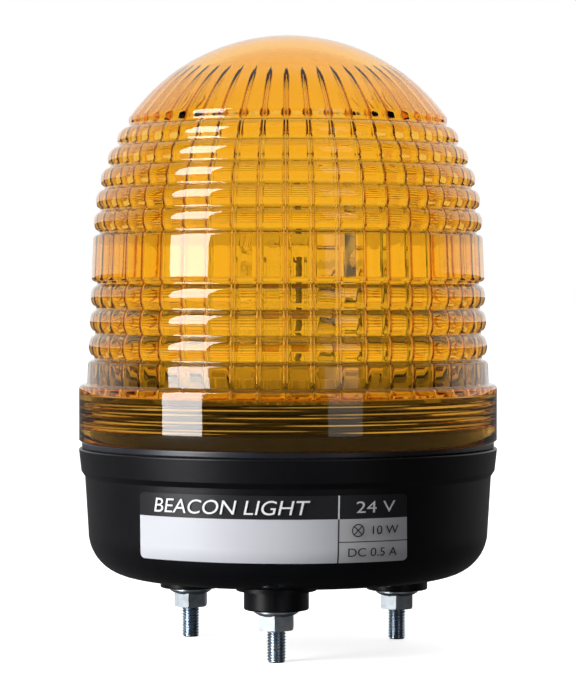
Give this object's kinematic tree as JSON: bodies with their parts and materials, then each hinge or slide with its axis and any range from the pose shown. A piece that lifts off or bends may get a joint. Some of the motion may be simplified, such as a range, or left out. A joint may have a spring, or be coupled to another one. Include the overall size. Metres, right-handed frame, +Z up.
{
  "type": "revolving signal beacon",
  "caption": "Amber ribbed-dome revolving signal beacon on a black drum base with three mounting studs, a screw-on lens and a geared mirror turning round a bulb.",
  "frame": {"origin": "on the lens axis, in the plane of the three studs' tips", "axes": "+Z up along the lens axis; -Y is the front, where one stud and the middle of the label face"},
  "size_m": [0.1151, 0.115, 0.1681],
  "materials": {
    "black_plastic": "fine matte grain",
    "grey_plastic": "satin",
    "white_nylon": "satin",
    "board_green": "solder resist",
    "terminal_green": "satin",
    "capacitor_sleeve": "sleeve",
    "wire_red": "insulation",
    "wire_black": "insulation",
    "seal_rubber": "smooth",
    "zinc_steel": "zinc plated",
    "motor_steel": "plated can",
    "spring_steel": "bright",
    "brass": "turned",
    "aluminium": "satin",
    "mirror_metal": "polished",
    "bulb_glass": "clear",
    "tungsten": "drawn wire",
    "label_film": "printed foil",
    "amber_lens": "amber, moulded"
  },
  "bodies": {
    "housing": {"base_housing": "black_plastic", "mounting_studs": "zinc_steel", "stud_nuts": "zinc_steel", "cable_grommet": "seal_rubber", "rating_label": "label_film", "chassis_plate": "grey_plastic", "chassis_screws": "zinc_steel", "lamp_post": "aluminium", "lamp_post_nut": "brass", "thrust_washer": "spring_steel", "retaining_ring": "spring_steel", "drive_motor": "motor_steel", "motor_screws": "zinc_steel", "lamp_socket": "brass", "socket_insulator": "white_nylon", "socket_contacts": "brass", "contact_springs": "spring_steel", "bulb_cap": "brass", "bulb_glass": "bulb_glass", "bulb_filament": "tungsten", "circuit_board": "board_green", "board_screws": "zinc_steel", "terminal_block": "terminal_green", "terminal_screws": "zinc_steel", "capacitor": "capacitor_sleeve", "fuse_link": "bulb_glass", "fuse_clips": "spring_steel", "lamp_leads": "wire_red", "motor_leads": "wire_black"},
    "seal_ring": {"lens_seal": "seal_rubber"},
    "lens_shell": {"lens": "amber_lens"},
    "carriage": {"carriage_gear": "white_nylon", "gear_bush": "brass", "mirror_bracket": "zinc_steel", "bracket_rivets": "aluminium", "mirror": "mirror_metal", "mirror_screw": "zinc_steel"},
    "motor_spindle": {"drive_pinion": "white_nylon", "motor_shaft": "spring_steel"}
  },
  "joints": [
    {"name": "lens_lift", "type": "slide", "parent": "housing", "child": "seal_ring", "axis": [0, 0, 1], "range_m": [0, 0.0091]},
    {"name": "lens_turn", "type": "hinge", "parent": "seal_ring", "child": "lens_shell", "pos_m": [0, 0, 0.0569], "axis": [0, 0, 1], "range_deg": [0, 1620]},
    {"name": "carriage_turn", "type": "hinge", "parent": "housing", "child": "carriage", "pos_m": [0, 0, 0.0665], "axis": [0, 0, 1], "continuous": true},
    {"name": "pinion_turn", "type": "hinge", "parent": "housing", "child": "motor_spindle", "pos_m": [0, 0.032, 0.0674], "axis": [0, 0, 1], "continuous": true}
  ],
  "couplings": [
    {"joint": "lens_lift", "follows": "lens_turn", "m_per_rad": 0.00031831},
    {"joint": "pinion_turn", "follows": "carriage_turn", "ratio": -3}
  ]
}
